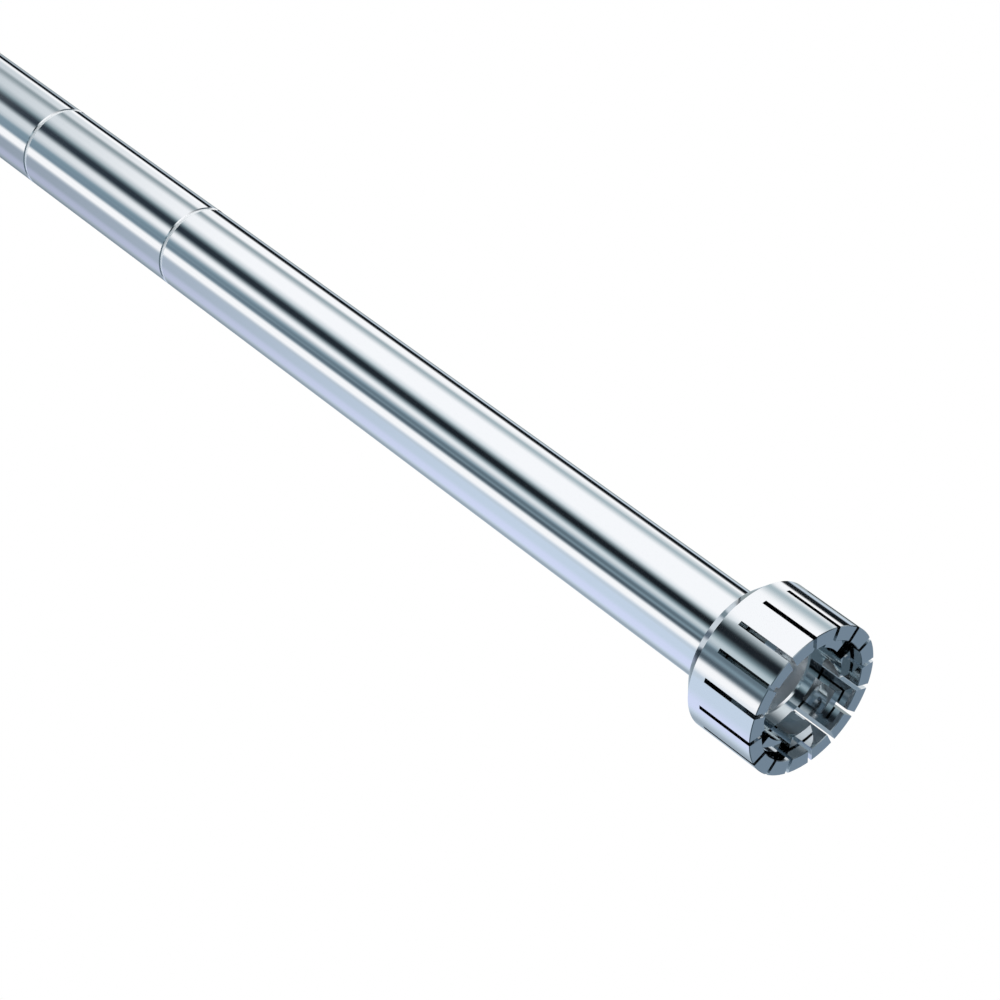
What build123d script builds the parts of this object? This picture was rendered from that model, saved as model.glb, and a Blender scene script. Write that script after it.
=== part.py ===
from build123d import *
import os
from math import radians, tan

os.makedirs("parts", exist_ok=True)

# A dispersing element: a toothed rotor turning in a slotted stator, on the end of a long shaft tube.
# Millimetres. Z is the axis of the tool. The origin is the centre of the stator's open end face, so the
# head is at the bottom, with its mouth downwards, and the drive end is at the top.

# Stator head
HEAD_DIAMETER = 45.0
HEAD_LENGTH = 26.5
HEAD_REAR_CHAMFER = 4.0
END_EDGE = 0.2  # broken edge round the mouth and the rim
STATOR_BORE = 36.0
STATOR_WALL = 5.0  # between the mouth's floor and the back of the head
SLOT_COUNT = 16
SLOT_WIDTH = 1.35
SLOT_LENGTH = 18.2

# Shaft tube and its joints
TUBE_DIAMETER = 27.3
TUBE_BORE = 22.0
LOWER_JOINT = 262.0  # height of the first ring groove
SLEEVE_LENGTH = 72.0  # between the two ring grooves
SHANK_LENGTH = 50.0
JOINT_GROOVE_WIDTH = 1.6  # the shadow groove round each joint, half of it on each piece
JOINT_GROOVE_DEPTH = 0.35
SHANK_END_CHAMFER = 1.0
STATOR_SPIGOT_LENGTH = 14.0
JOINT_SPIGOT_LENGTH = 14.0
SPIGOT_FIT = 0.02  # radial
PASSAGE_BORE = 14.0  # clear way for the shaft through the spigots

# O-rings of the three joints
O_RING_SECTION = 1.8
O_RING_GROOVE_WIDTH = 2.4
O_RING_SETBACK = 7.0  # from the joint's face to the middle of the groove
O_RING_FIT = 0.02

# Rotor
ROTOR_GAP = 0.65  # radial, between teeth and stator
ROTOR_RECESS = 3.4  # from the end face to the tooth tips
TOOTH_COUNT = 8
TOOTH_ANGLE = 28.0
TOOTH_HEIGHT = 8.4
TOOTH_THICKNESS = 3.35
CUP_DIAMETER = 21.8
CUP_DEPTH = 6.8
CUP_EDGE = 0.5
ROTOR_BACK_GAP = 0.6
ROTOR_BACK_CHAMFER = 0.8
HUB_DIAMETER = 11.6
HUB_LENGTH = 3.0

# Shaft
SHAFT_DIAMETER = 10.0
NOSE_DIAMETER = 8.0
NOSE_FLATS = 6.6
NOSE_FIT = 0.01
NOSE_SETBACK = 0.3  # the nose ends short of the washer, so that the screw clamps
SHAFT_PROTRUSION = 18.0
DRIVE_HEXAGON = 8.0  # across flats
DRIVE_HEXAGON_LENGTH = 14.0
SHAFT_END_CHAMFER = 0.6
RUNNING_FIT = 0.05  # radial, in every plain bearing

# Rotor fixing
SCREW_DIAMETER = 6.0
SCREW_LENGTH = 16.0
SCREW_HEAD_DIAMETER = 10.0
SCREW_HEAD_HEIGHT = 4.0
SCREW_SOCKET = 4.0  # across flats
SCREW_SOCKET_DEPTH = 2.3
SCREW_HEAD_EDGE = 0.5
SCREW_FIT = 0.02
TAPPED_HOLE_MARGIN = 2.0
WASHER_DIAMETER = 13.2
WASHER_THICKNESS = 1.0

# Plain bearings
JOURNAL_DIAMETER = 12.0
JOURNAL_LENGTH = 14.0
BUSH_DIAMETER = 16.0
BUSH_LENGTH = 12.0
BUSH_LIP = 3.0  # wall of the spigot that the bush rests on
LIP_CLEARANCE = 0.9
TUBE_BUSH_HEIGHT = 150.0
TUBE_BUSH_LENGTH = 12.0
TUBE_BUSH_FLUTES = 4
TUBE_BUSH_FLUTE_WIDTH = 4.0
TUBE_BUSH_FLUTE_DEPTH = 2.0
GUIDE_BUSH_LENGTH = 12.0
GUIDE_BUSH_SETBACK = 2.0
BUSH_EDGE = 0.4

# Retaining rings
RING_THICKNESS = 1.0
RING_GROOVE_DEPTH = 0.6
RING_FIT = 0.03
RING_OPENING = 40.0  # angle of the gap in an open ring
HOUSING_RING_WIDTH = 1.9
SHAFT_RING_WIDTH = 1.7
BUSH_RING_WIDTH = 1.5

# Ball bearing
BEARING_BORE = SHAFT_DIAMETER
BEARING_DIAMETER = TUBE_BORE
BEARING_WIDTH = 6.0
BEARING_SHOULDER = 2.0  # thickness of the step between the seal and the bearing
BALL_COUNT = 9
BALL_DIAMETER = 3.2
BALL_PLAY = 0.05
LAND_HEIGHT = 1.1  # radial, from the pitch circle to the lands of both rings
CAGE_THICKNESS = 1.5
CAGE_HEIGHT = 4.0
POCKET_PLAY = 0.08
SHIELD_THICKNESS = 0.4
SHIELD_SETBACK = 0.2
SHIELD_PLAY = 0.15

# Shaft seal
SEAL_DIAMETER = 19.0
SEAL_WIDTH = 6.0
SEAL_SHOULDER = 4.0  # from the lower joint to the seal
SEAL_METAL = 0.8
SEAL_FLANGE_BORE = 13.0
SEAL_BACK_BORE = 11.8
SEAL_LIP_GAP = 0.03
SEAL_SPRING_SECTION = 0.9

# Heights and radii that follow from the sizes above
HEAD_RADIUS = HEAD_DIAMETER / 2
TUBE_RADIUS = TUBE_DIAMETER / 2
TUBE_BORE_RADIUS = TUBE_BORE / 2
STATOR_BORE_RADIUS = STATOR_BORE / 2
SHAFT_RADIUS = SHAFT_DIAMETER / 2
NOSE_RADIUS = NOSE_DIAMETER / 2
JOURNAL_RADIUS = JOURNAL_DIAMETER / 2
BUSH_RADIUS = BUSH_DIAMETER / 2
PASSAGE_RADIUS = PASSAGE_BORE / 2
SPIGOT_RADIUS = TUBE_BORE_RADIUS - SPIGOT_FIT
STATOR_FLOOR = HEAD_LENGTH - STATOR_WALL
UPPER_JOINT = LOWER_JOINT + SLEEVE_LENGTH
JOINT_LAND_RADIUS = TUBE_RADIUS - JOINT_GROOVE_DEPTH
JOINT_GROOVE_HALF = JOINT_GROOVE_WIDTH / 2
JOINT_LAND_HALF = JOINT_GROOVE_HALF - JOINT_GROOVE_DEPTH
SHANK_TOP = UPPER_JOINT + SHANK_LENGTH
SHAFT_TOP = SHANK_TOP + SHAFT_PROTRUSION

ROTOR_RADIUS = STATOR_BORE_RADIUS - ROTOR_GAP
TOOTH_ROOT = ROTOR_RECESS + TOOTH_HEIGHT
CUP_FLOOR = TOOTH_ROOT + CUP_DEPTH
ROTOR_BACK = STATOR_FLOOR - ROTOR_BACK_GAP
HUB_END = ROTOR_BACK + HUB_LENGTH
WASHER_FACE = CUP_FLOOR - WASHER_THICKNESS
NOSE_END = CUP_FLOOR + NOSE_SETBACK
SHAFT_SHOULDER = HUB_END + JOURNAL_LENGTH

BUSH_BOTTOM = STATOR_FLOOR + BUSH_LIP
BUSH_TOP = BUSH_BOTTOM + BUSH_LENGTH
SPIGOT_TOP = HEAD_LENGTH + STATOR_SPIGOT_LENGTH
GUIDE_BUSH_TOP = SHANK_TOP - GUIDE_BUSH_SETBACK
GUIDE_BUSH_BOTTOM = GUIDE_BUSH_TOP - GUIDE_BUSH_LENGTH

SEAL_HEIGHT = LOWER_JOINT + SEAL_SHOULDER
SEAL_TOP = SEAL_HEIGHT + SEAL_WIDTH
BEARING_HEIGHT = SEAL_TOP + BEARING_SHOULDER
BEARING_TOP = BEARING_HEIGHT + BEARING_WIDTH
PITCH_RADIUS = (BEARING_BORE + BEARING_DIAMETER) / 4


def turned(*points):
    """A solid turned about Z from a closed outline of (radius, height) points."""
    outline = Plane.XZ * make_face(Polyline(*points, close=True))
    return revolve(outline, Axis.Z)


def disc(radius, bottom, top):
    """A solid cylinder on the axis between two heights."""
    return Pos(0, 0, bottom) * Cylinder(radius, top - bottom, align=(Align.CENTER, Align.CENTER, Align.MIN))


def ring(outer, inner, bottom, top):
    """A plain ring on the axis between two heights."""
    return disc(outer, bottom, top) - disc(inner, bottom, top)


def sector(radius, angle, bottom, top):
    """A wedge about the axis, opening to both sides of +X."""
    half_width = radius * tan(radians(angle / 2))
    face = make_face(Polyline((0, 0), (radius, -half_width), (radius, half_width), close=True))
    return Pos(0, 0, bottom) * extrude(face, top - bottom)


def around(count, shape, start=0.0):
    """Copies of a shape, evenly spaced about the axis from a starting angle."""
    return [Rot(0, 0, start + i * 360 / count) * shape for i in range(count)]


def open_ring(outer, inner, bottom):
    """A retaining ring: a flat ring with a gap, so that it can be sprung into its groove."""
    gap = sector(2 * outer, RING_OPENING, bottom, bottom + RING_THICKNESS)
    return ring(outer, inner, bottom, bottom + RING_THICKNESS) - gap


def o_ring_groove(face_height, direction):
    """The groove round a spigot, set back from the face of its joint."""
    middle = face_height + direction * O_RING_SETBACK
    floor = TUBE_BORE_RADIUS - O_RING_SECTION
    half = O_RING_GROOVE_WIDTH / 2
    return ring(TUBE_BORE_RADIUS + 1, floor, middle - half, middle + half)


def o_ring(face_height, direction):
    """An O-ring in its groove, between the groove's floor and the bore round it."""
    middle = face_height + direction * O_RING_SETBACK
    section = O_RING_SECTION / 2 - O_RING_FIT
    return Pos(0, 0, middle) * Torus(TUBE_BORE_RADIUS - O_RING_SECTION / 2, section)


def stator_head():
    """The head: a slotted ring with a closed back, and a spigot that carries the slide bush."""
    lip_radius = JOURNAL_RADIUS + LIP_CLEARANCE
    body = turned(
        (STATOR_BORE_RADIUS + END_EDGE, 0),
        (HEAD_RADIUS - END_EDGE, 0),
        (HEAD_RADIUS, END_EDGE),
        (HEAD_RADIUS, HEAD_LENGTH - HEAD_REAR_CHAMFER),
        (HEAD_RADIUS - HEAD_REAR_CHAMFER, HEAD_LENGTH),
        (SPIGOT_RADIUS, HEAD_LENGTH),
        (SPIGOT_RADIUS, SPIGOT_TOP),
        (BUSH_RADIUS, SPIGOT_TOP),
        (BUSH_RADIUS, BUSH_BOTTOM),
        (lip_radius, BUSH_BOTTOM),
        (lip_radius, STATOR_FLOOR),
        (STATOR_BORE_RADIUS, STATOR_FLOOR),
        (STATOR_BORE_RADIUS, END_EDGE),
    )
    wall = HEAD_RADIUS - STATOR_BORE_RADIUS
    slot = Pos(STATOR_BORE_RADIUS + wall / 2, 0, 0) * Box(
        2 * wall, SLOT_WIDTH, SLOT_LENGTH, align=(Align.CENTER, Align.CENTER, Align.MIN)
    )
    ring_groove = disc(BUSH_RADIUS + RING_GROOVE_DEPTH, BUSH_TOP, BUSH_TOP + RING_THICKNESS)
    return body - around(SLOT_COUNT, slot) - ring_groove - o_ring_groove(HEAD_LENGTH, 1)


def rotor():
    """The rotor: a deep cup whose rim is cut into teeth, on a hub with a flatted bore."""
    tooth_inner = ROTOR_RADIUS - TOOTH_THICKNESS
    cup_radius = CUP_DIAMETER / 2
    hub_radius = HUB_DIAMETER / 2
    bore = NOSE_RADIUS + NOSE_FIT
    blank = turned(
        (tooth_inner, ROTOR_RECESS),
        (ROTOR_RADIUS, ROTOR_RECESS),
        (ROTOR_RADIUS, ROTOR_BACK - ROTOR_BACK_CHAMFER),
        (ROTOR_RADIUS - ROTOR_BACK_CHAMFER, ROTOR_BACK),
        (hub_radius, ROTOR_BACK),
        (hub_radius, HUB_END),
        (0, HUB_END),
        (0, CUP_FLOOR),
        (cup_radius, CUP_FLOOR),
        (cup_radius, TOOTH_ROOT + CUP_EDGE),
        (cup_radius + CUP_EDGE, TOOTH_ROOT),
        (tooth_inner, TOOTH_ROOT),
    )
    pitch = 360 / TOOTH_COUNT
    gap = sector(HEAD_RADIUS, pitch - TOOTH_ANGLE, ROTOR_RECESS, TOOTH_ROOT)
    flatted_bore = disc(bore, CUP_FLOOR, HUB_END) & Pos(0, 0, (CUP_FLOOR + HUB_END) / 2) * Box(
        2 * bore, NOSE_FLATS + 2 * NOSE_FIT, HUB_END - CUP_FLOOR
    )
    return blank - around(TOOTH_COUNT, gap) - flatted_bore


def drive_shaft():
    """The shaft: a hexagon at the top, ring grooves for the ball bearing, and a stepped, tapped nose."""
    body = turned(
        (0, NOSE_END),
        (NOSE_RADIUS, NOSE_END),
        (NOSE_RADIUS, SHAFT_SHOULDER),
        (SHAFT_RADIUS, SHAFT_SHOULDER),
        (SHAFT_RADIUS, SHAFT_TOP - SHAFT_END_CHAMFER),
        (SHAFT_RADIUS - SHAFT_END_CHAMFER, SHAFT_TOP),
        (0, SHAFT_TOP),
    )
    flat_zone = disc(NOSE_RADIUS, NOSE_END, HUB_END)
    flats = flat_zone - Pos(0, 0, (NOSE_END + HUB_END) / 2) * Box(
        NOSE_DIAMETER, NOSE_FLATS, HUB_END - NOSE_END
    )
    hexagon_bottom = SHAFT_TOP - DRIVE_HEXAGON_LENGTH
    hexagon = Pos(0, 0, hexagon_bottom) * extrude(
        RegularPolygon(DRIVE_HEXAGON / 2, 6, major_radius=False), DRIVE_HEXAGON_LENGTH
    )
    round_off = disc(SHAFT_RADIUS, hexagon_bottom, SHAFT_TOP) - hexagon
    tapped_hole = disc(
        SCREW_DIAMETER / 2 + SCREW_FIT, NOSE_END, WASHER_FACE + SCREW_LENGTH + TAPPED_HOLE_MARGIN
    )
    groove_radius = SHAFT_RADIUS - RING_GROOVE_DEPTH
    grooves = [
        ring(2 * SHAFT_RADIUS, groove_radius, bottom, bottom + RING_THICKNESS)
        for bottom in (BEARING_HEIGHT - RING_THICKNESS, BEARING_TOP)
    ]
    return body - flats - round_off - tapped_hole - grooves


def journal_sleeve():
    """The hard sleeve on the shaft's nose that runs in the slide bush."""
    return ring(JOURNAL_RADIUS, NOSE_RADIUS, HUB_END, SHAFT_SHOULDER)


def rotor_washer():
    """The thick washer under the rotor screw's head."""
    return ring(WASHER_DIAMETER / 2, SCREW_DIAMETER / 2 + SCREW_FIT, WASHER_FACE, CUP_FLOOR)


def rotor_screw():
    """The low socket-head screw that holds the rotor on the shaft's nose."""
    head_radius = SCREW_HEAD_DIAMETER / 2
    head_face = WASHER_FACE - SCREW_HEAD_HEIGHT
    tip = WASHER_FACE + SCREW_LENGTH
    body = turned(
        (0, head_face),
        (head_radius - SCREW_HEAD_EDGE, head_face),
        (head_radius, head_face + SCREW_HEAD_EDGE),
        (head_radius, WASHER_FACE),
        (SCREW_DIAMETER / 2, WASHER_FACE),
        (SCREW_DIAMETER / 2, tip),
        (0, tip),
    )
    socket = Pos(0, 0, head_face) * extrude(
        RegularPolygon(SCREW_SOCKET / 2, 6, major_radius=False), SCREW_SOCKET_DEPTH
    )
    return body - socket


def slide_bush():
    """The plain bush in the stator's spigot."""
    bore = JOURNAL_RADIUS + RUNNING_FIT
    return turned(
        (bore, BUSH_BOTTOM),
        (BUSH_RADIUS, BUSH_BOTTOM),
        (BUSH_RADIUS, BUSH_TOP - BUSH_EDGE),
        (BUSH_RADIUS - BUSH_EDGE, BUSH_TOP),
        (bore, BUSH_TOP),
    )


def bush_retaining_ring():
    """The inner retaining ring that keeps the slide bush in the spigot."""
    outer = BUSH_RADIUS + RING_GROOVE_DEPTH - RING_FIT
    return open_ring(outer, outer - BUSH_RING_WIDTH, BUSH_TOP)


def shaft_tube():
    """The long tube from the head to the first ring groove."""
    return turned(
        (TUBE_BORE_RADIUS, HEAD_LENGTH),
        (TUBE_RADIUS, HEAD_LENGTH),
        (TUBE_RADIUS, LOWER_JOINT - JOINT_GROOVE_HALF),
        (JOINT_LAND_RADIUS, LOWER_JOINT - JOINT_LAND_HALF),
        (JOINT_LAND_RADIUS, LOWER_JOINT),
        (TUBE_BORE_RADIUS, LOWER_JOINT),
    )


def tube_bush():
    """The guide bush half way up the tube, with flutes that let air and cleaning fluid past."""
    half = TUBE_BUSH_LENGTH / 2
    bottom, top = TUBE_BUSH_HEIGHT - half, TUBE_BUSH_HEIGHT + half
    flute = Pos(TUBE_BORE_RADIUS, 0, TUBE_BUSH_HEIGHT) * Box(
        2 * TUBE_BUSH_FLUTE_DEPTH, TUBE_BUSH_FLUTE_WIDTH, TUBE_BUSH_LENGTH
    )
    return ring(TUBE_BORE_RADIUS, SHAFT_RADIUS + RUNNING_FIT, bottom, top) - around(TUBE_BUSH_FLUTES, flute)


def bearing_sleeve():
    """The section between the ring grooves, which seats the shaft seal and the ball bearing."""
    spigot_bottom = LOWER_JOINT - JOINT_SPIGOT_LENGTH
    body = turned(
        (PASSAGE_RADIUS, spigot_bottom),
        (SPIGOT_RADIUS, spigot_bottom),
        (SPIGOT_RADIUS, LOWER_JOINT),
        (JOINT_LAND_RADIUS, LOWER_JOINT),
        (JOINT_LAND_RADIUS, LOWER_JOINT + JOINT_LAND_HALF),
        (TUBE_RADIUS, LOWER_JOINT + JOINT_GROOVE_HALF),
        (TUBE_RADIUS, UPPER_JOINT - JOINT_GROOVE_HALF),
        (JOINT_LAND_RADIUS, UPPER_JOINT - JOINT_LAND_HALF),
        (JOINT_LAND_RADIUS, UPPER_JOINT),
        (TUBE_BORE_RADIUS, UPPER_JOINT),
        (TUBE_BORE_RADIUS, BEARING_HEIGHT),
        (SEAL_DIAMETER / 2, BEARING_HEIGHT),
        (SEAL_DIAMETER / 2, SEAL_HEIGHT),
        (PASSAGE_RADIUS, SEAL_HEIGHT),
    )
    ring_groove = disc(TUBE_BORE_RADIUS + RING_GROOVE_DEPTH, BEARING_TOP, BEARING_TOP + RING_THICKNESS)
    return body - ring_groove - o_ring_groove(LOWER_JOINT, -1)


def clamp_shank():
    """The top section, which the drive unit clamps, with a seat for the guide bush."""
    spigot_bottom = UPPER_JOINT - JOINT_SPIGOT_LENGTH
    body = turned(
        (PASSAGE_RADIUS, spigot_bottom),
        (SPIGOT_RADIUS, spigot_bottom),
        (SPIGOT_RADIUS, UPPER_JOINT),
        (JOINT_LAND_RADIUS, UPPER_JOINT),
        (JOINT_LAND_RADIUS, UPPER_JOINT + JOINT_LAND_HALF),
        (TUBE_RADIUS, UPPER_JOINT + JOINT_GROOVE_HALF),
        (TUBE_RADIUS, SHANK_TOP - SHANK_END_CHAMFER),
        (TUBE_RADIUS - SHANK_END_CHAMFER, SHANK_TOP),
        (BUSH_RADIUS, SHANK_TOP),
        (BUSH_RADIUS, GUIDE_BUSH_BOTTOM),
        (PASSAGE_RADIUS, GUIDE_BUSH_BOTTOM),
    )
    return body - o_ring_groove(UPPER_JOINT, -1)


def guide_bush():
    """The plain bush that guides the shaft at the drive end."""
    bore = SHAFT_RADIUS + RUNNING_FIT
    return turned(
        (bore, GUIDE_BUSH_BOTTOM),
        (BUSH_RADIUS, GUIDE_BUSH_BOTTOM),
        (BUSH_RADIUS, GUIDE_BUSH_TOP - BUSH_EDGE),
        (BUSH_RADIUS - BUSH_EDGE, GUIDE_BUSH_TOP),
        (bore, GUIDE_BUSH_TOP),
    )


def seal_case():
    """The seal's steel case, an angle section pressed into the sleeve."""
    outer = SEAL_DIAMETER / 2
    return turned(
        (SEAL_FLANGE_BORE / 2, SEAL_HEIGHT),
        (outer, SEAL_HEIGHT),
        (outer, SEAL_TOP),
        (outer - SEAL_METAL, SEAL_TOP),
        (outer - SEAL_METAL, SEAL_HEIGHT + SEAL_METAL),
        (SEAL_FLANGE_BORE / 2, SEAL_HEIGHT + SEAL_METAL),
    )


def seal_lip_head():
    """Radius and height of the middle of the lip's head, where the garter spring lies."""
    return SEAL_FLANGE_BORE / 2 + SEAL_SPRING_SECTION, SEAL_TOP - 2 * SEAL_SPRING_SECTION


def seal_lip():
    """The rubber lip, moulded onto the case's flange and leaning in to the shaft."""
    edge = SHAFT_RADIUS + SEAL_LIP_GAP
    back = SEAL_BACK_BORE / 2
    flange = SEAL_HEIGHT + SEAL_METAL
    spring_radius, spring_height = seal_lip_head()
    outer = spring_radius - SEAL_SPRING_SECTION / 2
    return turned(
        (back, SEAL_HEIGHT),
        (SEAL_FLANGE_BORE / 2, SEAL_HEIGHT),
        (SEAL_FLANGE_BORE / 2, flange),
        (SEAL_DIAMETER / 2 - SEAL_METAL, flange),
        (SEAL_DIAMETER / 2 - SEAL_METAL, flange + SEAL_METAL),
        (outer, flange + SEAL_METAL),
        (outer, spring_height + SEAL_SPRING_SECTION),
        (back, spring_height + SEAL_SPRING_SECTION),
        (edge, spring_height),
        (back, spring_height - 2 * SEAL_SPRING_SECTION),
    )


def seal_spring():
    """The garter spring round the lip's head."""
    spring_radius, spring_height = seal_lip_head()
    return Pos(0, 0, spring_height) * Torus(spring_radius, SEAL_SPRING_SECTION / 2)


def ball_track():
    """The groove that the balls run in, cut into both rings."""
    return Pos(0, 0, (BEARING_HEIGHT + BEARING_TOP) / 2) * Torus(PITCH_RADIUS, BALL_DIAMETER / 2 + BALL_PLAY)


def bearing_outer_ring():
    """The bearing's outer ring, in the sleeve."""
    land = PITCH_RADIUS + LAND_HEIGHT
    return ring(BEARING_DIAMETER / 2, land, BEARING_HEIGHT, BEARING_TOP) - ball_track()


def bearing_inner_ring():
    """The bearing's inner ring, on the shaft."""
    land = PITCH_RADIUS - LAND_HEIGHT
    return ring(land, BEARING_BORE / 2, BEARING_HEIGHT, BEARING_TOP) - ball_track()


def ball_places(shape):
    """Copies of a shape at the centre of each ball."""
    return around(BALL_COUNT, Pos(PITCH_RADIUS, 0, (BEARING_HEIGHT + BEARING_TOP) / 2) * shape)


def bearing_balls():
    """The balls, as one group."""
    return Compound(children=ball_places(Sphere(BALL_DIAMETER / 2)))


def bearing_cage():
    """The cage: one ring with a round window for each ball."""
    middle = (BEARING_HEIGHT + BEARING_TOP) / 2
    half_wall, half_height = CAGE_THICKNESS / 2, CAGE_HEIGHT / 2
    body = ring(PITCH_RADIUS + half_wall, PITCH_RADIUS - half_wall, middle - half_height, middle + half_height)
    window = Rot(0, 90, 0) * Cylinder(BALL_DIAMETER / 2 + POCKET_PLAY, 2 * CAGE_THICKNESS)
    return body - ball_places(window)


def bearing_shield(bottom):
    """A thin shield held by the outer ring, clear of the inner one."""
    inner = PITCH_RADIUS - LAND_HEIGHT + SHIELD_PLAY
    return ring(PITCH_RADIUS + LAND_HEIGHT, inner, bottom, bottom + SHIELD_THICKNESS)


def housing_retaining_ring():
    """The ring in the sleeve that holds the bearing's outer ring down."""
    outer = TUBE_BORE_RADIUS + RING_GROOVE_DEPTH - RING_FIT
    return open_ring(outer, outer - HOUSING_RING_WIDTH, BEARING_TOP)


def shaft_retaining_rings():
    """The two rings on the shaft, one under and one over the bearing's inner ring."""
    inner = SHAFT_RADIUS - RING_GROOVE_DEPTH + RING_FIT
    bottoms = (BEARING_HEIGHT - RING_THICKNESS, BEARING_TOP)
    return Compound(children=[open_ring(inner + SHAFT_RING_WIDTH, inner, bottom) for bottom in bottoms])


NODES = {
    "stator_head": stator_head(),
    "rotor": rotor(),
    "drive_shaft": drive_shaft(),
    "journal_sleeve": journal_sleeve(),
    "rotor_washer": rotor_washer(),
    "rotor_screw": rotor_screw(),
    "slide_bush": slide_bush(),
    "bush_retaining_ring": bush_retaining_ring(),
    "shaft_tube": shaft_tube(),
    "tube_bush": tube_bush(),
    "bearing_sleeve": bearing_sleeve(),
    "clamp_shank": clamp_shank(),
    "guide_bush": guide_bush(),
    "stator_o_ring": o_ring(HEAD_LENGTH, 1),
    "sleeve_o_ring": o_ring(LOWER_JOINT, -1),
    "shank_o_ring": o_ring(UPPER_JOINT, -1),
    "seal_case": seal_case(),
    "seal_lip": seal_lip(),
    "seal_spring": seal_spring(),
    "bearing_outer_ring": bearing_outer_ring(),
    "bearing_inner_ring": bearing_inner_ring(),
    "bearing_balls": bearing_balls(),
    "bearing_cage": bearing_cage(),
    "bearing_shield_lower": bearing_shield(BEARING_HEIGHT + SHIELD_SETBACK),
    "bearing_shield_upper": bearing_shield(BEARING_TOP - SHIELD_SETBACK - SHIELD_THICKNESS),
    "housing_retaining_ring": housing_retaining_ring(),
    "shaft_retaining_rings": shaft_retaining_rings(),
}

for name, shape in NODES.items():
    export_step(shape, f"parts/{name}.step")
    print(f"{name}: {len(shape.solids())} solids, {shape.volume:.0f} mm3")
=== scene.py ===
# %% [markdown]
# A dispersing element: a slim polished tube with a slotted head, and a toothed rotor inside the head.
# All its pieces have exact shapes, so they come ready made from the CAD model. This lesson gives them
# their finishes, a studio and a camera. Lengths are in metres, and the tool stands on its head along Z.

from math import degrees, radians

import bpy
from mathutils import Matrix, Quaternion, Vector

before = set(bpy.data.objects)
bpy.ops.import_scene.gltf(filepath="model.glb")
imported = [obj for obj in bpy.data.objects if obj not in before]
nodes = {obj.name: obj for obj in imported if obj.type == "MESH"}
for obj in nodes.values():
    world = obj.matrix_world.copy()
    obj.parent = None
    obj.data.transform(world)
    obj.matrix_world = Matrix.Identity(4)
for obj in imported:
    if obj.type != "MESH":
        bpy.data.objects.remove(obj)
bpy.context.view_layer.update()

# %% [markdown]
# Finishes and light are both made of shader nodes. Setting and joining them takes many lines that look
# alike, so a few short helpers come first. A mask in this lesson is a value from 0 to 1 that says how much
# of something shows at a place.

# %% Helpers for shader nodes
def add_node(tree, kind, **settings):
    """A shader node with its properties set."""
    made = tree.nodes.new(kind)
    for key, value in settings.items():
        setattr(made, key, value)
    return made


def math_node(tree, operation, *values):
    """A math node fed by sockets or plain numbers."""
    made = add_node(tree, "ShaderNodeMath", operation=operation)
    for socket, value in zip(made.inputs, values):
        if isinstance(value, (int, float)):
            socket.default_value = value
        else:
            tree.links.new(value, socket)
    return made.outputs["Value"]


def ramp(tree, value, start, end):
    """Smoothly 0 to 1 as the value goes from start to end, whichever is larger."""
    made = add_node(tree, "ShaderNodeMapRange", interpolation_type="SMOOTHSTEP")
    made.inputs["From Min"].default_value = min(start, end)
    made.inputs["From Max"].default_value = max(start, end)
    made.inputs["To Min"].default_value = 0 if start < end else 1
    made.inputs["To Max"].default_value = 1 if start < end else 0
    tree.links.new(value, made.inputs["Value"])
    return made.outputs["Result"]


def both(tree, first, second):
    """The mask that is 1 where two masks are."""
    return math_node(tree, "MULTIPLY", first, second)


def opposite(tree, mask):
    """1 where a mask is 0, and 0 where it is 1."""
    return math_node(tree, "SUBTRACT", 1.0, mask)


def split(tree, output):
    """The X, Y and Z of one of the outputs of the texture coordinates."""
    parts = add_node(tree, "ShaderNodeSeparateXYZ")
    tree.links.new(add_node(tree, "ShaderNodeTexCoord").outputs[output], parts.inputs["Vector"])
    return parts.outputs


def mix_colours(tree, mask, below, above):
    """Lays one colour over another. Each is a socket or a plain colour."""
    mix = add_node(tree, "ShaderNodeMix", data_type="RGBA")
    tree.links.new(mask, mix.inputs["Factor"])
    for name, value in (("A", below), ("B", above)):
        if isinstance(value, tuple):
            mix.inputs[name].default_value = (*value, 1)
        else:
            tree.links.new(value, mix.inputs[name])
    return mix.outputs["Result"]


print("shader helpers ready")

# %% [markdown]
# Every finish here is bare or moulded material, so one small recipe makes them all: a Principled shader,
# a noise that changes the roughness a little, and a bump that gives the surface its tool marks. A flat
# grey would look like plastic, because polished steel shows mostly what stands round it.

# %% The recipe for a finish
NOISE_RANGE = (0.3, 0.7)  # nearly all of a noise lies between these values


def new_finish(name, colour, metallic, roughness):
    """A material with its main values set straight on the shader."""
    material = bpy.data.materials.new(name)
    material.use_nodes = True
    shader = material.node_tree.nodes["Principled BSDF"]
    shader.inputs["Base Color"].default_value = (*colour, 1)
    shader.inputs["Metallic"].default_value = metallic
    shader.inputs["Roughness"].default_value = roughness
    return material, shader


def noise_on(tree, stretch, scale, detail):
    """A noise on the piece's own coordinates, stretched by a factor along each axis."""
    place = add_node(tree, "ShaderNodeTexCoord")
    mapping = add_node(tree, "ShaderNodeMapping")
    mapping.inputs["Scale"].default_value = stretch
    noise = add_node(tree, "ShaderNodeTexNoise")
    noise.inputs["Scale"].default_value = scale
    noise.inputs["Detail"].default_value = detail
    tree.links.new(place.outputs["Object"], mapping.inputs["Vector"])
    tree.links.new(mapping.outputs["Vector"], noise.inputs["Vector"])
    return noise


def vary_roughness(material, shader, noise, smooth, rough):
    """The noise moves the roughness between two values."""
    tree = material.node_tree
    spread = add_node(tree, "ShaderNodeMapRange")
    spread.inputs["From Min"].default_value, spread.inputs["From Max"].default_value = NOISE_RANGE
    spread.inputs["To Min"].default_value = smooth
    spread.inputs["To Max"].default_value = rough
    tree.links.new(noise.outputs["Fac"], spread.inputs["Value"])
    tree.links.new(spread.outputs["Result"], shader.inputs["Roughness"])


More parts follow.
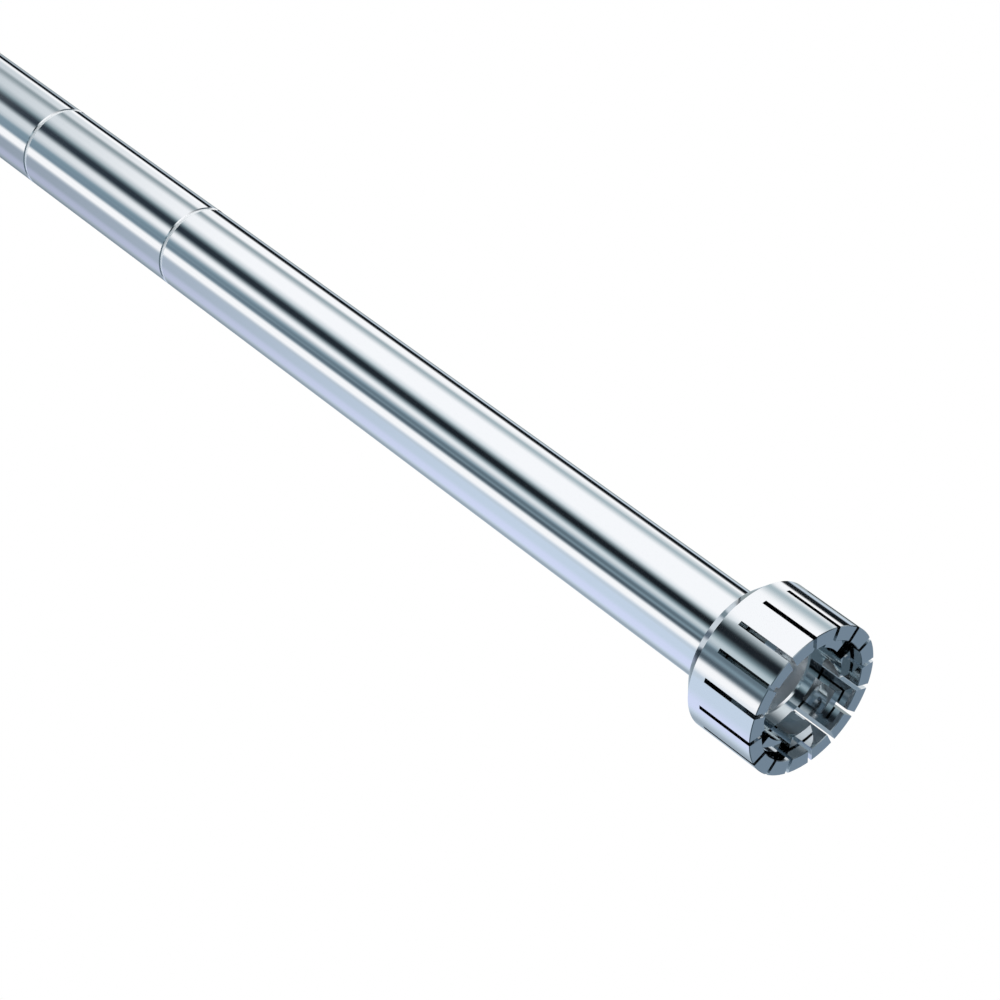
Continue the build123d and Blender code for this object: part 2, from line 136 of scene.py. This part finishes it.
def add_marks(material, shader, noise, strength, depth):
    """The noise lifts the surface by a depth in metres."""
    tree = material.node_tree
    bump = add_node(tree, "ShaderNodeBump")
    bump.inputs["Strength"].default_value = strength
    bump.inputs["Distance"].default_value = depth
    tree.links.new(noise.outputs["Fac"], bump.inputs["Height"])
    tree.links.new(bump.outputs["Normal"], shader.inputs["Normal"])


print("finish recipe ready")

# %% [markdown]
# The outside of the tube and head is mirror-polished stainless steel. It was polished while it turned, so
# what marks it has run round it: they are far closer along Z than across it, and only just show. Broad soft
# smudges keep the mirror from looking like glass. The rotor starts from the same steel.

# %% Mirror-polished steel
STEEL = (0.84, 0.85, 0.87)


def polished_steel(name, smooth, rough):
    """Turned and polished steel, with faint lines round the axis and soft smudges."""
    material, shader = new_finish(name, STEEL, metallic=1.0, roughness=smooth)
    smudges = noise_on(material.node_tree, stretch=(1, 1, 0.4), scale=90, detail=3)
    vary_roughness(material, shader, smudges, smooth, rough)
    lines = noise_on(material.node_tree, stretch=(0.02, 0.02, 1), scale=4000, detail=1)
    add_marks(material, shader, lines, strength=0.03, depth=0.00002)
    return material


finishes = {
    "shaft_tube": polished_steel("polished_tube", smooth=0.035, rough=0.07),
    "bearing_sleeve": polished_steel("polished_sleeve", smooth=0.035, rough=0.07),
    "clamp_shank": polished_steel("polished_shank", smooth=0.035, rough=0.07),
    "stator_head": polished_steel("polished_head", smooth=0.04, rough=0.09),
    "rotor": polished_steel("machined_rotor", smooth=0.03, rough=0.06),
}
print("polished:", ", ".join(finishes))

# %% [markdown]
# A polishing wheel doesn't reach into bores, slots and grooves, so those keep the face that a cutter left.
# Such faces could be picked by hand and given a second material. Here masks find them by their distance
# from the axis, their height and their tilt, so each piece stays one material and the mesh stays as it is.
# The colours laid on these faces also carry painted shade and painted light.

# %% Masks that find cut faces
MASK_BLUR = 0.0002
SLANT_BEGINS = (0.4, 0.5)
SLANT_ENDS = (0.95, 0.9)
UPRIGHT_ENDS = (0.9, 0.5)


def reach(name):
    """How far a piece reaches from the axis."""
    return max(corner[0] for corner in nodes[name].bound_box)


def near_axis(tree, radius):
    """1 nearer to the axis than a radius."""
    place = split(tree, "Object")
    squares = [math_node(tree, "POWER", place[name], 2.0) for name in ("X", "Y")]
    distance = math_node(tree, "SQRT", math_node(tree, "ADD", *squares))
    return ramp(tree, distance, radius, radius - MASK_BLUR)


def higher_than(tree, height):
    """1 above a height."""
    return ramp(tree, split(tree, "Object")["Z"], height, height + MASK_BLUR)


def tilt(tree):
    """How far a face's normal points along the axis: 0 on upright faces, 1 on flat ones."""
    return math_node(tree, "ABSOLUTE", split(tree, "Normal")["Z"])


def slanting(tree):
    """1 on faces that are neither upright nor flat."""
    return both(tree, ramp(tree, tilt(tree), *SLANT_BEGINS), ramp(tree, tilt(tree), *SLANT_ENDS))


def upright(tree):
    """1 on upright faces, 0 on flat ones."""
    return ramp(tree, tilt(tree), *UPRIGHT_ENDS)


def roughen_and_tint(material, mask, colour, rougher_by):
    """Gives the places where the mask is 1 the roughness that a cutter left and a colour, which also serves
    for painted shade and painted light.
    """
    tree = material.node_tree
    shader = tree.nodes["Principled BSDF"]
    polished = shader.inputs["Roughness"].links[0].from_socket
    rougher = math_node(tree, "ADD", polished, math_node(tree, "MULTIPLY", mask, rougher_by))
    tree.links.new(rougher, shader.inputs["Roughness"])
    base = shader.inputs["Base Color"]
    under = base.links[0].from_socket if base.is_linked else STEEL
    tree.links.new(mix_colours(tree, mask, under, colour), base)


print("outside radii:", {name: round(reach(name), 5) for name in finishes})

# %% [markdown]
# The head is one turned piece with 16 milled slots. Its bore, its slots and its rear chamfer are duller
# than its polished outside, and their darker colour is painted shade, the shade that falls into them. The
# edges of the end face were broken with a file, which shows as a thin dark line round the ring: these are
# the only slanting faces at the very foot of the head.

# %% Cut faces of the head, with painted shade
# painted shade: the bore, slots and rear chamfer are darker than the steel for the shade inside the head
BORED_AND_SHADED = (0.56, 0.61, 0.64)
FILED = (0.3, 0.36, 0.4)
HEAD_SKIN = 0.0001  # the polish of the outside goes in this far
END_FACE_TOP = 0.00003  # below this is the end face, which is polished
BROKEN_EDGE_TOP = 0.0006

head = finishes["stator_head"]
tree = head.node_tree
bored = both(tree, near_axis(tree, reach("stator_head") - HEAD_SKIN), higher_than(tree, END_FACE_TOP))
# painted shade laid on the bore, slots and rear chamfer
roughen_and_tint(head, bored, BORED_AND_SHADED, rougher_by=0.04)
broken_edge = both(tree, slanting(tree), opposite(tree, higher_than(tree, BROKEN_EDGE_TOP)))
roughen_and_tint(head, broken_edge, FILED, rougher_by=0.15)
print("head: bored and milled inside radius", round(reach("stator_head") - HEAD_SKIN, 4))

# %% [markdown]
# The rotor turns close inside the head. Its upright faces come from three tools. The sides of its teeth
# were milled, and their darker colour is painted shade. Its cup was turned to a satin, and its brighter
# colour is painted light. The rims of its teeth were ground to leave an even gap to the head. They face
# only that narrow gap, and their nearly black colour is painted shade. The flat faces keep the bright
# finish that they have from the lathe.

# %% Cut faces of the rotor, with painted shade and painted light
# painted shade: the milled tooth sides are darker than the steel for the shade inside the head
MILLED_AND_SHADED = (0.64, 0.69, 0.71)
# painted light: brighter than the steel, for the light on the rotor's cup and in the tube's grooves
SATIN_PAINTED_LIGHT = (0.95, 0.96, 0.97)
# painted shade: the ground rims are nearly black for the shade of the narrow gap to the head
RIM_PAINTED_SHADE = (0.24, 0.27, 0.28)
CUP_SIDE = 0.0112  # a radius just outside the wall of the cup
RIM_SKIN = 0.00015

rotor = finishes["rotor"]
tree = rotor.node_tree
sides = upright(tree)
cup = both(tree, sides, near_axis(tree, CUP_SIDE))
rims = both(tree, sides, opposite(tree, near_axis(tree, reach("rotor") - RIM_SKIN)))
roughen_and_tint(rotor, sides, MILLED_AND_SHADED, rougher_by=0.01)
roughen_and_tint(rotor, cup, SATIN_PAINTED_LIGHT, rougher_by=0.25)
roughen_and_tint(rotor, rims, RIM_PAINTED_SHADE, rougher_by=0.1)
print("rotor: cup inside radius", CUP_SIDE, "and rims outside", round(reach("rotor") - RIM_SKIN, 5))

# %% [markdown]
# Two shallow ring grooves mark the joints of the tube. Their floors lie below the polish, so they have the
# satin of the turning tool, and a brighter colour of painted light makes them show as fine lines instead
# of mirroring the room as the tube does.

# %% Ring grooves of the tube, with painted light
GROOVE_SKIN = 0.00015

for name in ("shaft_tube", "bearing_sleeve", "clamp_shank"):
    groove = near_axis(finishes[name].node_tree, reach(name) - GROOVE_SKIN)
    # painted light: the groove floors get a brighter colour than the steel
    roughen_and_tint(finishes[name], groove, SATIN_PAINTED_LIGHT, rougher_by=0.35)
print("grooves: satin inside radius", round(reach("shaft_tube") - GROOVE_SKIN, 5))

# %% [markdown]
# The inner pieces are ground or turned steel, spring steel, rubber, slide plastic and brass. They hardly
# show, but each still gets its own material, so that the part looks right when it is taken apart. Two
# recipes are enough, one with a lathe's lines and one with the fine grain of a mould.

# %% Recipes for the inner pieces
def turned_metal(name, colour, smooth, rough):
    """Plain turned or ground metal, with lines round the axis."""
    material, shader = new_finish(name, colour, metallic=1.0, roughness=smooth)
    smudges = noise_on(material.node_tree, stretch=(1, 1, 1), scale=300, detail=3)
    vary_roughness(material, shader, smudges, smooth, rough)
    lines = noise_on(material.node_tree, stretch=(0.03, 0.03, 1), scale=6000, detail=2)
    add_marks(material, shader, lines, strength=0.2, depth=0.00003)
    return material


def moulded(name, colour, smooth, rough, grain):
    """Rubber or plastic with a fine matt grain."""
    material, shader = new_finish(name, colour, metallic=0.0, roughness=smooth)
    speckle = noise_on(material.node_tree, stretch=(1, 1, 1), scale=grain, detail=4)
    vary_roughness(material, shader, speckle, smooth, rough)
    add_marks(material, shader, speckle, strength=0.25, depth=0.00005)
    return material


print("recipes for metal and moulded pieces ready")

# %% [markdown]
# What sets the inner metals apart is their colour and how rough they are. Balls and ground rings are smooth
# and bright, spring steel is dark from its hardening, and pressed sheet is dull. The slide plastic is
# off-white, and the rubber is nearly black.

# %% Finishes of the inner pieces
ground = turned_metal("ground_shaft", (0.70, 0.71, 0.73), smooth=0.16, rough=0.3)
hard = turned_metal("hard_journal", (0.60, 0.61, 0.64), smooth=0.1, rough=0.18)
plain = turned_metal("machined_steel", (0.8, 0.81, 0.83), smooth=0.07, rough=0.14)
spring = turned_metal("spring_steel", (0.2, 0.2, 0.22), smooth=0.3, rough=0.45)
pressed = turned_metal("pressed_steel", (0.55, 0.56, 0.58), smooth=0.3, rough=0.42)
wire = turned_metal("garter_spring", (0.48, 0.48, 0.5), smooth=0.25, rough=0.4)
race = turned_metal("bearing_steel", (0.66, 0.67, 0.69), smooth=0.1, rough=0.2)
ball = turned_metal("ball_steel", (0.8, 0.81, 0.83), smooth=0.05, rough=0.1)
brass = turned_metal("cage_brass", (0.72, 0.53, 0.24), smooth=0.22, rough=0.34)
slide = moulded("slide_plastic", (0.82, 0.82, 0.8), smooth=0.4, rough=0.55, grain=900)
rubber = moulded("seal_rubber", (0.02, 0.02, 0.021), smooth=0.5, rough=0.7, grain=1200)

inner = {
    ground: ["drive_shaft"],
    hard: ["journal_sleeve"],
    plain: ["rotor_washer", "rotor_screw"],
    spring: ["bush_retaining_ring", "housing_retaining_ring", "shaft_retaining_rings"],
    pressed: ["seal_case", "bearing_shield_lower", "bearing_shield_upper"],
    wire: ["seal_spring"],
    race: ["bearing_outer_ring", "bearing_inner_ring"],
    ball: ["bearing_balls"],
    brass: ["bearing_cage"],
    slide: ["slide_bush", "tube_bush", "guide_bush"],
    rubber: ["stator_o_ring", "sleeve_o_ring", "shank_o_ring", "seal_lip"],
}
for material, names in inner.items():
    for name in names:
        finishes[name] = material
print("inner pieces:", sum(len(names) for names in inner.values()))

# %% [markdown]
# Each piece comes from the CAD model with a plain material. Its finish takes that material's place, and its
# mesh isn't touched.

# %% Give each piece its finish
for name, node in nodes.items():
    node.data.materials.clear()
    node.data.materials.append(finishes[name])
print("finished nodes:", len(finishes), "of", len(nodes))

# %% [markdown]
# Polished steel is lit by what it reflects. Round the tool stands a white room with dark flags and a
# blue-grey wall, as a photographer sets them for a shiny cylinder, and each makes one band along the tube.
# They could be built as planes, each with its own place, size and blur. Here the world shader draws them
# as cards, by the compass angle and the height of the ray that leaves the metal, which is simpler.

# %% How a card is drawn
# Angles are degrees of the compass, from +X towards +Y, and of height above the horizon.
EDGE = 4.0
LEAN_FROM = 28.0
FADE_HEIGHTS = (34, 48)
ALL_HEIGHTS = (-95, 95)  # 5 degrees past straight down and straight up, to leave no soft edge there


def between(tree, value, low, high, edge):
    """1 between low and high, with edges that are soft as far inwards as outwards."""
    above = ramp(tree, value, low - edge, low + edge)
    under = ramp(tree, value, high + edge, high - edge)
    return both(tree, above, under)


def add_card(tree, below, ray, at, half, soft, colour, lean=0, top=1, heights=ALL_HEIGHTS):
    """Lays one card over what is below it.

    The card's middle is at a compass angle. It reaches half of its width to both sides, and then fades
    over the two angles in soft. Above LEAN_FROM it leans by some degrees for each one of height, and over
    FADE_HEIGHTS its brightness changes to top times what it was.
    """
    compass, height, risen = ray
    raised = math_node(tree, "MAXIMUM", math_node(tree, "SUBTRACT", height, LEAN_FROM), 0.0)
    shift = math_node(tree, "MULTIPLY", raised, lean)
    offset = math_node(tree, "SUBTRACT", math_node(tree, "SUBTRACT", compass, at), shift)
    offset = math_node(tree, "WRAP", offset, 180, -180)
    soft_before, soft_after = soft
    begins = ramp(tree, offset, -half - soft_before, -half)
    ends = ramp(tree, offset, half + soft_after, half)
    low, high = heights
    cover = both(tree, both(tree, begins, ends), between(tree, height, low, high, EDGE))
    at_top = tuple(top * part for part in colour)
    return mix_colours(tree, cover, below, mix_colours(tree, risen, colour, at_top))


print("card recipe ready")

# %% [markdown]
# The walls come first, because the other cards lie over them. The far wall stands behind the tool as the
# camera sees it, and both edges of the tube reflect it. The room is whitest in front, where the camera
# stands. Most walls turn darker with height, and the far end of the tube reflects that part of them.

# %% Walls
WHITE_ROOM = (1.09, 1.095, 1.1)  # shows wherever no card hangs
WALLS = {
    "far wall": dict(at=159.5, half=78.5, soft=(5, 12), lean=-0.5, top=0.68, colour=(0.6, 0.7, 0.8)),
    "wall shade": dict(at=151.5, half=1.5, soft=(32, 27), lean=-0.5, top=0.7, colour=(0.346, 0.421, 0.491)),
    "blue wall": dict(at=208.1, half=22, soft=(24, 5.5), lean=-0.27, top=0.52, colour=(0.63, 0.745, 0.885)),
    "lavender": dict(at=191.3, half=5, soft=(16, 20), lean=-0.45, top=0.63, colour=(0.72, 0.79, 1.015)),
    "room front": dict(at=332.3, half=49, soft=(7, 31), lean=0.05, colour=(1.09, 1.1, 1.11)),
    "cornice": dict(at=350, half=60, soft=(10, 10), heights=(45, 95), colour=(0.6, 0.67, 0.71)),
}
print("walls:", ", ".join(WALLS))

# %% [markdown]
# A flag is a narrow dark card. It draws a dark band along the tube, which gives a mirror its roundness.
# Some bands have a darker line or a paler fold in them, which is a second card over the first.

# %% Flags
FLAGS = {
    "side flag": dict(at=272.2, half=7.4, soft=(11, 17), lean=-0.16, colour=(0.25, 0.355, 0.42)),
    "flag edge": dict(at=264, half=0.2, soft=(8.2, 8), lean=0.05, top=2.75, colour=(0.08, 0.113, 0.14)),
    "flag fold": dict(at=277.4, half=0.7, soft=(7, 6.3), lean=-0.3, top=1.75, colour=(0.128, 0.185, 0.225)),
    "front shade": dict(at=302.2, half=4, soft=(21.5, 28), lean=1.2, top=0.6, colour=(0.34, 0.49, 0.55)),
    "front flag": dict(at=306.2, half=2.6, soft=(16, 17), lean=0.78, top=3.1, colour=(0.01, 0.0145, 0.02)),
    "thin flag": dict(at=46.6, half=0.1, soft=(22, 13), lean=-1.06, top=0.65, colour=(0.443, 0.542, 0.582)),
    "edge shade": dict(at=106, half=6, soft=(9, 8), colour=(0.36, 0.41, 0.42)),
    "edge flag": dict(at=77.5, half=5.5, soft=(4.5, 5.5), colour=(0.004, 0.007, 0.01)),
}
print("flags:", ", ".join(FLAGS))

# %% [markdown]
# Below the flags lies a dark table, which the end face of the head reflects. High above hangs a bright
# ceiling with dark beams. Hardly anything but the inside of the head reflects it, and it gives the bore and
# the teeth their lights and blacks.

# %% Table and ceiling
BELOW = (-95, -12)
ABOVE = (50, 95)
TABLE = {
    "low shade": dict(at=40, half=8, soft=(40, 14), heights=BELOW, colour=(0.13, 0.16, 0.18)),
    "far table": dict(at=178, half=76, soft=(10, 14), heights=BELOW, colour=(0.12, 0.17, 0.205)),
    "table glow": dict(at=120, half=8, soft=(16, 16), heights=BELOW, colour=(0.19, 0.26, 0.33)),
}
CEILING = {
    "lit ceiling": dict(at=325, half=90, soft=(8, 6), heights=ABOVE, colour=(1.0, 1.04, 1.08)),
    "beam": dict(at=0, half=6, soft=(14, 12), heights=ABOVE, colour=(0.28, 0.36, 0.4)),
    "front beam": dict(at=276, half=5, soft=(16, 20), heights=ABOVE, colour=(0.17, 0.22, 0.28)),
    "far beam": dict(at=190, half=26, soft=(30, 12), heights=ABOVE, colour=(0.03, 0.045, 0.06)),
    "side beam": dict(at=66, half=4, soft=(9, 10), heights=ABOVE, colour=(0.02, 0.03, 0.04)),
}
print("table and ceiling:", ", ".join([*TABLE, *CEILING]))

# %% [markdown]
# The shader first turns the direction of a ray into a compass angle and a height. Then it lays one card
# over the next, as paint goes over paint, and the last colour is what the metal reflects.

# %% Lay the cards
DEGREES = degrees(1)  # in one radian

world = bpy.data.worlds.new("studio")
world.use_nodes = True
bpy.context.scene.world = world
sky = world.node_tree
sky.nodes.clear()
direction = split(sky, "Generated")
turn = math_node(sky, "ARCTAN2", direction["Y"], direction["X"])
rise = math_node(sky, "ARCSINE", direction["Z"])
compass = math_node(sky, "MULTIPLY", turn, DEGREES)
height = math_node(sky, "MULTIPLY", rise, DEGREES)
ray = (compass, height, ramp(sky, height, *FADE_HEIGHTS))
cards = [*WALLS.values(), *FLAGS.values(), *TABLE.values(), *CEILING.values()]
reflection = WHITE_ROOM
for card in cards:
    reflection = add_card(sky, reflection, ray, **card)
print("cards laid:", len(cards))

# %% [markdown]
# Only the metal needs the cards. The camera sees plain white behind the tool, and matt faces get plain
# white light. A soft box in that light gives the floor its shadow. It could be an area lamp, but that would
# also show in the metal.

# %% Plain light and backdrop
SOFT_BOX = Vector((-0.5, -0.35, 0.79)).normalized()
BOX_BLUR = (0.86, 0.97)  # cosines of the angle from the box's middle, at its rim and where it is full
ROOM_LIGHT = 0.62
BOX_LIGHT = 2.9

# Matt faces get ROOM_LIGHT from all sides and BOX_LIGHT more from the box. The camera sees a plain 1.
toward_box = add_node(sky, "ShaderNodeVectorMath", operation="DOT_PRODUCT")
sky.links.new(add_node(sky, "ShaderNodeTexCoord").outputs["Generated"], toward_box.inputs[0])
toward_box.inputs[1].default_value = SOFT_BOX
box = ramp(sky, toward_box.outputs["Value"], *BOX_BLUR)
change = math_node(sky, "MULTIPLY_ADD", box, BOX_LIGHT, ROOM_LIGHT - 1)
path = add_node(sky, "ShaderNodeLightPath")
plain_white = add_node(sky, "ShaderNodeBackground")
plain_white.inputs["Color"].default_value = (1, 1, 1, 1)
strength = math_node(sky, "MULTIPLY_ADD", change, path.outputs["Is Diffuse Ray"], 1.0)
sky.links.new(strength, plain_white.inputs["Strength"])
reflected = add_node(sky, "ShaderNodeBackground")
sky.links.new(reflection, reflected.inputs["Color"])
chosen = add_node(sky, "ShaderNodeMixShader")
sky.links.new(path.outputs["Is Glossy Ray"], chosen.inputs["Fac"])
sky.links.new(plain_white.outputs["Background"], chosen.inputs[1])
sky.links.new(reflected.outputs["Background"], chosen.inputs[2])
sky.links.new(chosen.outputs["Shader"], add_node(sky, "ShaderNodeOutputWorld").inputs["Surface"])
print("the metal reflects the cards, and all else is white")

# %% [markdown]
# The tool stands on a pale table top, so that a camera above it has something to see it on. A flat sheet
# is enough. It lies a hair below the end face, because two faces at one height flicker in a render.

# %% Floor
FLOOR_SIZE = 6.0
FLOOR_DROP = 0.0002

bpy.ops.object.select_all(action="DESELECT")
bpy.ops.mesh.primitive_plane_add(size=FLOOR_SIZE, location=(0, 0, -FLOOR_DROP))
floor = bpy.context.object
floor.name = "floor"
paint, paint_shader = new_finish("pale_floor", (0.92, 0.92, 0.93), metallic=0.0, roughness=0.8)
floor.data.materials.append(paint)
print("floor:", FLOOR_SIZE, "m across")

# %% [markdown]
# The photograph looks up at the slotted end face, from below the floor. The floor is therefore made to show
# only from above: a mask mixes its paint with a clear shader. The same mask fades it out towards its rim,
# where a hard edge would draw a horizon.

# %% Show the floor only from above
FULL_WITHIN = FLOOR_SIZE * 0.08
GONE_AT = FLOOR_SIZE * 0.5

tree = paint.node_tree
from_above = opposite(tree, add_node(tree, "ShaderNodeNewGeometry").outputs["Backfacing"])
to_camera = add_node(tree, "ShaderNodeLightPath").outputs["Is Camera Ray"]
length = add_node(tree, "ShaderNodeVectorMath", operation="LENGTH")
tree.links.new(add_node(tree, "ShaderNodeTexCoord").outputs["Object"], length.inputs[0])
faded = ramp(tree, length.outputs["Value"], GONE_AT, FULL_WITHIN)
clear = add_node(tree, "ShaderNodeBsdfTransparent")
shown = add_node(tree, "ShaderNodeMixShader")
tree.links.new(both(tree, both(tree, from_above, to_camera), faded), shown.inputs["Fac"])
tree.links.new(clear.outputs["BSDF"], shown.inputs[1])
tree.links.new(paint_shader.outputs["BSDF"], shown.inputs[2])
tree.links.new(shown.outputs["Shader"], tree.nodes["Material Output"].inputs["Surface"])
print("the floor is full within", FULL_WITHIN, "m and gone at", GONE_AT, "m")

# %% [markdown]
# The camera stands low and close to the head, so the tube shrinks towards its far end. A long lens keeps
# the head's ring a calm ellipse. The roll lays the tool from upper left to lower right.

# %% Camera
CAMERA_PLACE = Vector((0.36953, -0.59674, -0.37789))
CAMERA_TARGET = Vector((-0.00531, -0.00336, 0.11586))
CAMERA_ROLL = radians(-53.406)
SENSOR_WIDTH = 36
LENS = 111.513
NEAREST = 0.05
FARTHEST = 20

bpy.ops.object.camera_add(location=CAMERA_PLACE)
camera = bpy.context.object
camera.name = "camera"
aim = (CAMERA_TARGET - CAMERA_PLACE).to_track_quat("-Z", "Y")
camera.rotation_mode = "QUATERNION"
camera.rotation_quaternion = aim @ Quaternion((0, 0, 1), CAMERA_ROLL)
camera.data.sensor_width = SENSOR_WIDTH
camera.data.lens = LENS
camera.data.clip_start = NEAREST
camera.data.clip_end = FARTHEST
bpy.context.scene.camera = camera
bpy.context.scene.view_settings.view_transform = "Standard"
print("camera at", [round(x, 3) for x in camera.location])
